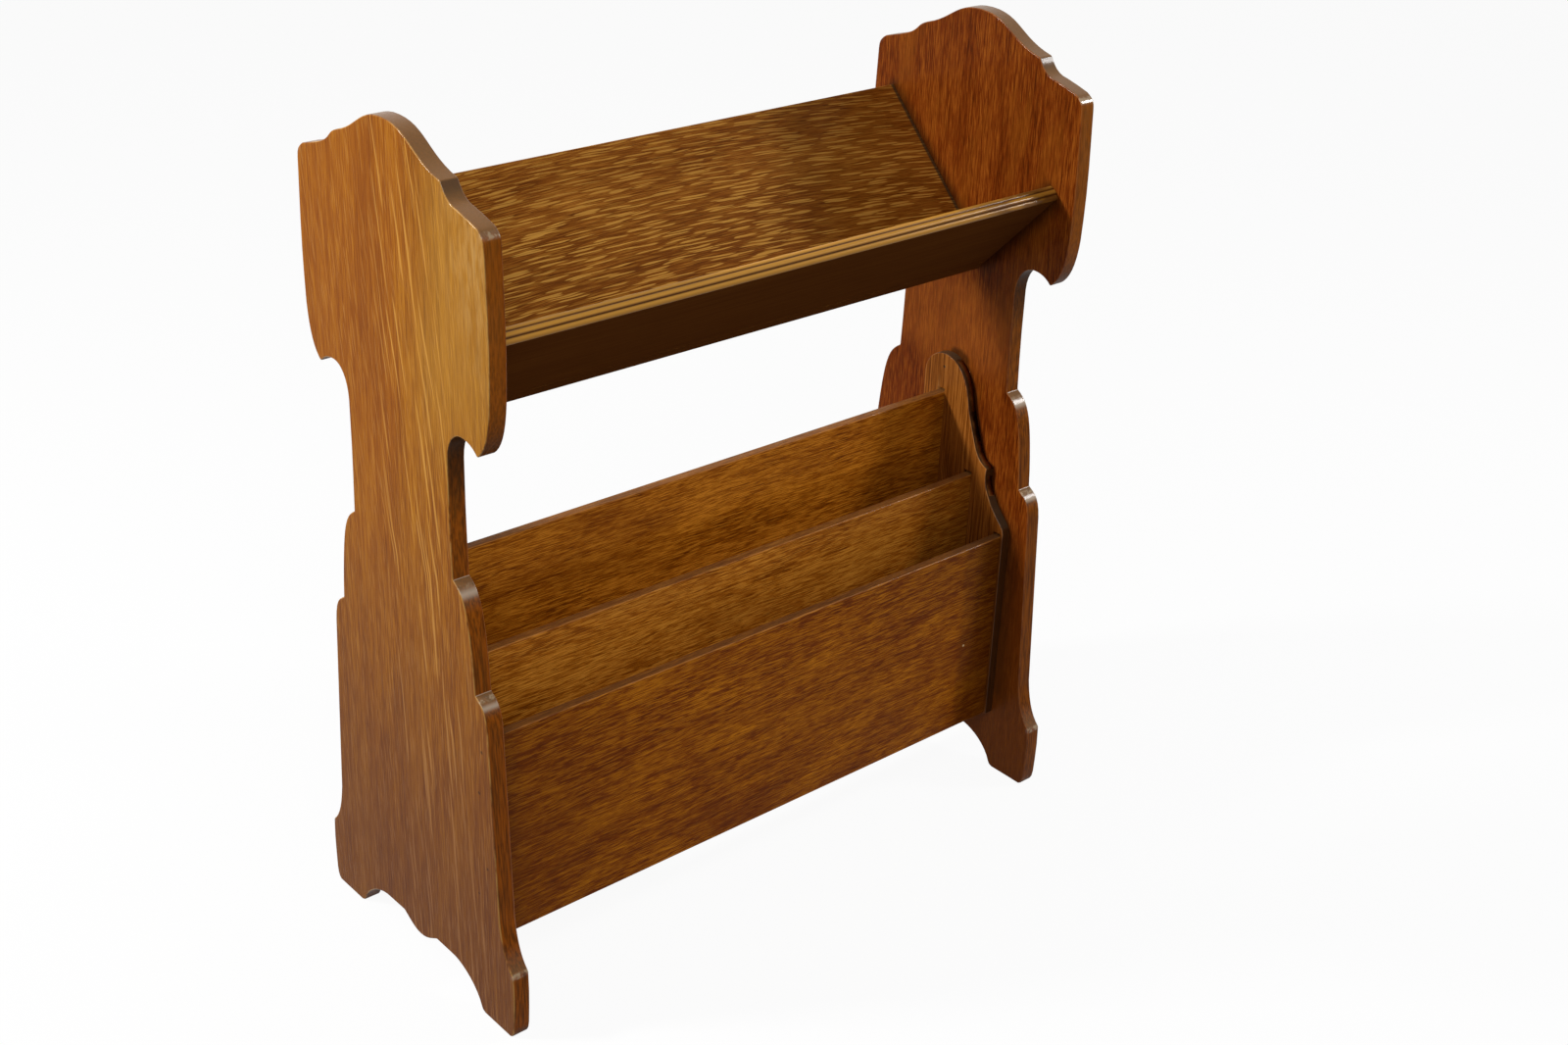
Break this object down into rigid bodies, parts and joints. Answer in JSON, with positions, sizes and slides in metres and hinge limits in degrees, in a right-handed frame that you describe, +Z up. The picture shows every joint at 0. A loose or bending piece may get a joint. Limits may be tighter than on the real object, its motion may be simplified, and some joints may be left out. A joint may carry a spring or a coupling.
{
  "type": "book rack",
  "caption": "Oak floor rack: a right-angled book trough over two upright magazine pockets, between two shaped end panels.",
  "frame": {"origin": "on the floor, under the middle of the rack's length and depth", "axes": "+X along the length towards the right end as seen from the front, +Y to the back, +Z up"},
  "size_m": [0.6378, 0.2916, 0.762],
  "materials": {
    "end_oak": "satin stained oak, vertical grain",
    "trough_oak": "satin stained quarter-sawn oak",
    "rack_oak": "satin stained oak, horizontal grain",
    "beech": "bare beech dowel",
    "steel": "plain steel"
  },
  "bodies": {
    "root": {"left_end": "end_oak", "right_end": "end_oak", "trough_back_board": "trough_oak", "trough_front_board": "trough_oak", "left_grooved_cheek": "rack_oak", "right_grooved_cheek": "rack_oak", "rack_rear_panel": "rack_oak", "rack_middle_panel": "rack_oak", "rack_front_panel": "rack_oak", "rack_base_board": "rack_oak", "left_back_board_dowel_1": "beech", "left_back_board_dowel_2": "beech", "left_back_board_dowel_3": "beech", "left_front_board_dowel_1": "beech", "left_front_board_dowel_2": "beech", "right_back_board_dowel_1": "beech", "right_back_board_dowel_2": "beech", "right_back_board_dowel_3": "beech", "right_front_board_dowel_1": "beech", "right_front_board_dowel_2": "beech", "trough_screw_1": "steel", "trough_screw_2": "steel", "trough_screw_3": "steel", "trough_screw_4": "steel", "left_cheek_pin_1": "steel", "left_cheek_pin_2": "steel", "left_cheek_pin_3": "steel", "left_cheek_pin_4": "steel", "right_cheek_pin_1": "steel", "right_cheek_pin_2": "steel", "right_cheek_pin_3": "steel", "right_cheek_pin_4": "steel", "rear_panel_pin_1": "steel", "rear_panel_pin_2": "steel", "rear_panel_pin_3": "steel", "rear_panel_pin_4": "steel", "base_board_pin_1": "steel", "base_board_pin_2": "steel", "base_board_pin_3": "steel", "base_board_pin_4": "steel"}
  },
  "joints": []
}
